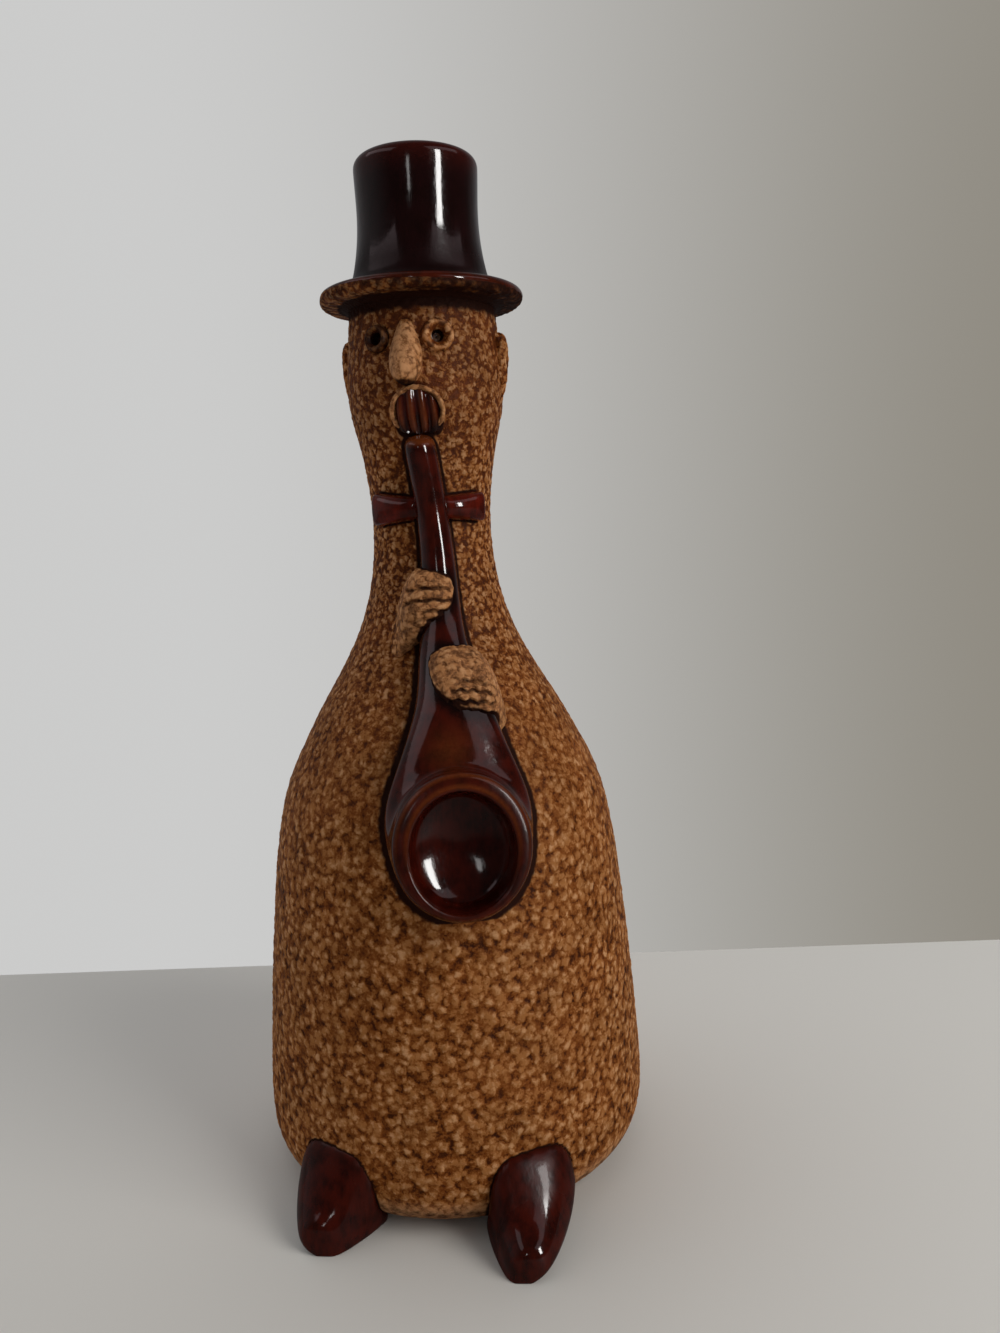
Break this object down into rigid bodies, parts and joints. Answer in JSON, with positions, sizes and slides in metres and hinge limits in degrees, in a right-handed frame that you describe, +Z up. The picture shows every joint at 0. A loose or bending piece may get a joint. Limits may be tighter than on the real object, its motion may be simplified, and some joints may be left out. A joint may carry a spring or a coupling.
{
  "type": "figural bottle vase",
  "caption": "Ceramic bottle vase shaped as a saxophone player: hollow tapering body with an open top hat as its mouth, crackled tan glaze and glossy brown hat, horn, bow tie and shoes",
  "frame": {"origin": "middle of the round foot, on the table", "axes": "+Z up along the bottle's axis, -Y the way the face and the shoes look, +X to the viewer's right"},
  "size_m": [0.108, 0.1188, 0.27],
  "materials": {
    "glazed_clay": "matt tan crackle glaze, with glossy dark brown glaze on the hat, horn, bow tie and shoes"
  },
  "bodies": {
    "root": {"figural_vase": "glazed_clay"}
  },
  "joints": []
}
